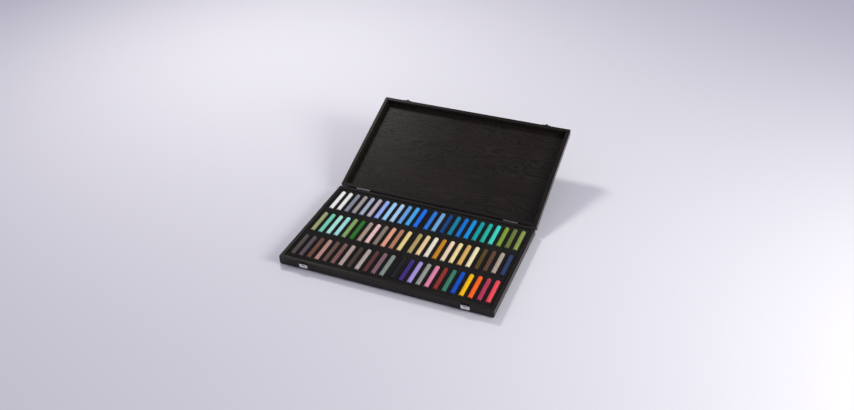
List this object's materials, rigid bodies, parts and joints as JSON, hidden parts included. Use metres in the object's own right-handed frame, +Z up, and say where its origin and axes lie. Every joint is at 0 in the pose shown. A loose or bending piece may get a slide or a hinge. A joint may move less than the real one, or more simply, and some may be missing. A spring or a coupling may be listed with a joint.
{
  "type": "hinged pastel stick case",
  "caption": "Flat hinged wooden case, standing open, with two hasps and slotted foam trays that hold rows of round pastel sticks.",
  "frame": {"origin": "middle of the flat underside of the base", "axes": "+X to the right along the front, +Y from the front to the hinges, +Z up"},
  "size_m": [0.46, 0.5466, 0.1156],
  "materials": {
    "stained_wood": "satin",
    "nickel_plate": "satin",
    "foam": "matte",
    "pastel_blues": "matte",
    "pastel_earths": "matte",
    "pastel_darks": "matte"
  },
  "bodies": {
    "base": {"base_front_rail": "stained_wood", "base_back_rail": "stained_wood", "base_left_rail": "stained_wood", "base_right_rail": "stained_wood", "base_panel": "stained_wood", "left_hinge_base_leaf": "nickel_plate", "right_hinge_base_leaf": "nickel_plate", "left_hinge_pin": "nickel_plate", "right_hinge_pin": "nickel_plate", "left_hasp_plate": "nickel_plate", "right_hasp_plate": "nickel_plate", "left_hasp_pin": "nickel_plate", "right_hasp_pin": "nickel_plate", "hinge_base_screws": "nickel_plate", "hasp_plate_screws": "nickel_plate"},
    "lid": {"lid_front_rail": "stained_wood", "lid_back_rail": "stained_wood", "lid_left_rail": "stained_wood", "lid_right_rail": "stained_wood", "lid_panel": "stained_wood", "left_hinge_lid_leaf": "nickel_plate", "right_hinge_lid_leaf": "nickel_plate", "left_hook_plate": "nickel_plate", "right_hook_plate": "nickel_plate", "hinge_lid_screws": "nickel_plate", "hook_plate_screws": "nickel_plate"},
    "left_hasp": {"left_hasp_flap": "nickel_plate"},
    "right_hasp": {"right_hasp_flap": "nickel_plate"},
    "left_tray": {"left_foam_tray": "foam"},
    "left_row_1": {"left_row_1_sticks": "pastel_darks"},
    "left_row_2": {"left_row_2_sticks": "pastel_earths"},
    "left_row_3": {"left_row_3_sticks": "pastel_blues"},
    "right_tray": {"right_foam_tray": "foam"},
    "right_row_1": {"right_row_1_sticks": "pastel_darks"},
    "right_row_2": {"right_row_2_sticks": "pastel_earths"},
    "right_row_3": {"right_row_3_sticks": "pastel_blues"}
  },
  "joints": [
    {"name": "lid_hinge", "type": "hinge", "parent": "base", "child": "lid", "pos_m": [0, 0.1398, 0.02015], "axis": [-1, 0, 0], "range_deg": [-160, 0]},
    {"name": "left_hasp_hinge", "type": "hinge", "parent": "base", "child": "left_hasp", "pos_m": [-0.173, -0.1393, 0.0182], "axis": [1, 0, 0], "range_deg": [-180, 0]},
    {"name": "right_hasp_hinge", "type": "hinge", "parent": "base", "child": "right_hasp", "pos_m": [0.173, -0.1393, 0.0182], "axis": [1, 0, 0], "range_deg": [-180, 0]},
    {"name": "left_tray_lift", "type": "slide", "parent": "base", "child": "left_tray", "axis": [0, 0, 1], "range_m": [0, 0.06]},
    {"name": "left_row_1_lift", "type": "slide", "parent": "left_tray", "child": "left_row_1", "axis": [0, 0, 1], "range_m": [0, 0.03]},
    {"name": "left_row_2_lift", "type": "slide", "parent": "left_tray", "child": "left_row_2", "axis": [0, 0, 1], "range_m": [0, 0.03]},
    {"name": "left_row_3_lift", "type": "slide", "parent": "left_tray", "child": "left_row_3", "axis": [0, 0, 1], "range_m": [0, 0.03]},
    {"name": "right_tray_lift", "type": "slide", "parent": "base", "child": "right_tray", "axis": [0, 0, 1], "range_m": [0, 0.06]},
    {"name": "right_row_1_lift", "type": "slide", "parent": "right_tray", "child": "right_row_1", "axis": [0, 0, 1], "range_m": [0, 0.03]},
    {"name": "right_row_2_lift", "type": "slide", "parent": "right_tray", "child": "right_row_2", "axis": [0, 0, 1], "range_m": [0, 0.03]},
    {"name": "right_row_3_lift", "type": "slide", "parent": "right_tray", "child": "right_row_3", "axis": [0, 0, 1], "range_m": [0, 0.03]}
  ]
}
